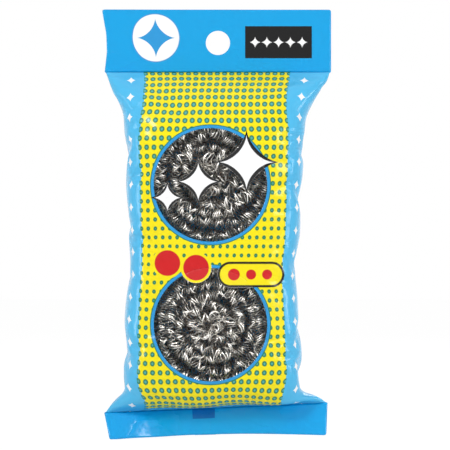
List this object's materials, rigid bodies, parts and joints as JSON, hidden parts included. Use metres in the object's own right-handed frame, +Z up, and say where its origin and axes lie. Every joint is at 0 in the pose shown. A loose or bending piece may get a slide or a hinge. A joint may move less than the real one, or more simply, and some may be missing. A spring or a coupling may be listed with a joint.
{
  "type": "pot scrubber pack",
  "caption": "Hanging film pouch with a punched header and round clear windows, holding curled stainless-steel pot scrubbers that have a little play inside.",
  "frame": {"origin": "centre of the hang hole, in the middle of the header's thickness", "axes": "+Z up along the pack's length, +Y from the printed front to the back, +X to the right as seen from the front"},
  "size_m": [0.1008, 0.0408, 0.1883],
  "materials": {
    "printed_front": "gloss printed film, yellow with blue dots",
    "printed_back": "gloss printed film, light blue",
    "printed_seal": "gloss printed film, heat sealed",
    "clear_film": "clear film",
    "steel": "bright curled steel strand"
  },
  "bodies": {
    "pouch": {"front_panel": "printed_front", "window_upper": "clear_film", "window_lower": "clear_film", "back_panel_left": "printed_back", "back_panel_right": "printed_back", "back_fin": "printed_back", "header_seal": "printed_seal", "base_seal": "printed_seal"},
    "upper_scourer": {"scourer_upper": "steel"},
    "lower_scourer": {"scourer_lower": "steel"}
  },
  "joints": [
    {"name": "upper_shift", "type": "slide", "parent": "pouch", "child": "upper_scourer", "axis": [0, 0, 1], "range_m": [0, 0.003]},
    {"name": "lower_shift", "type": "slide", "parent": "pouch", "child": "lower_scourer", "axis": [0, 0, 1], "range_m": [0, 0.002]}
  ]
}
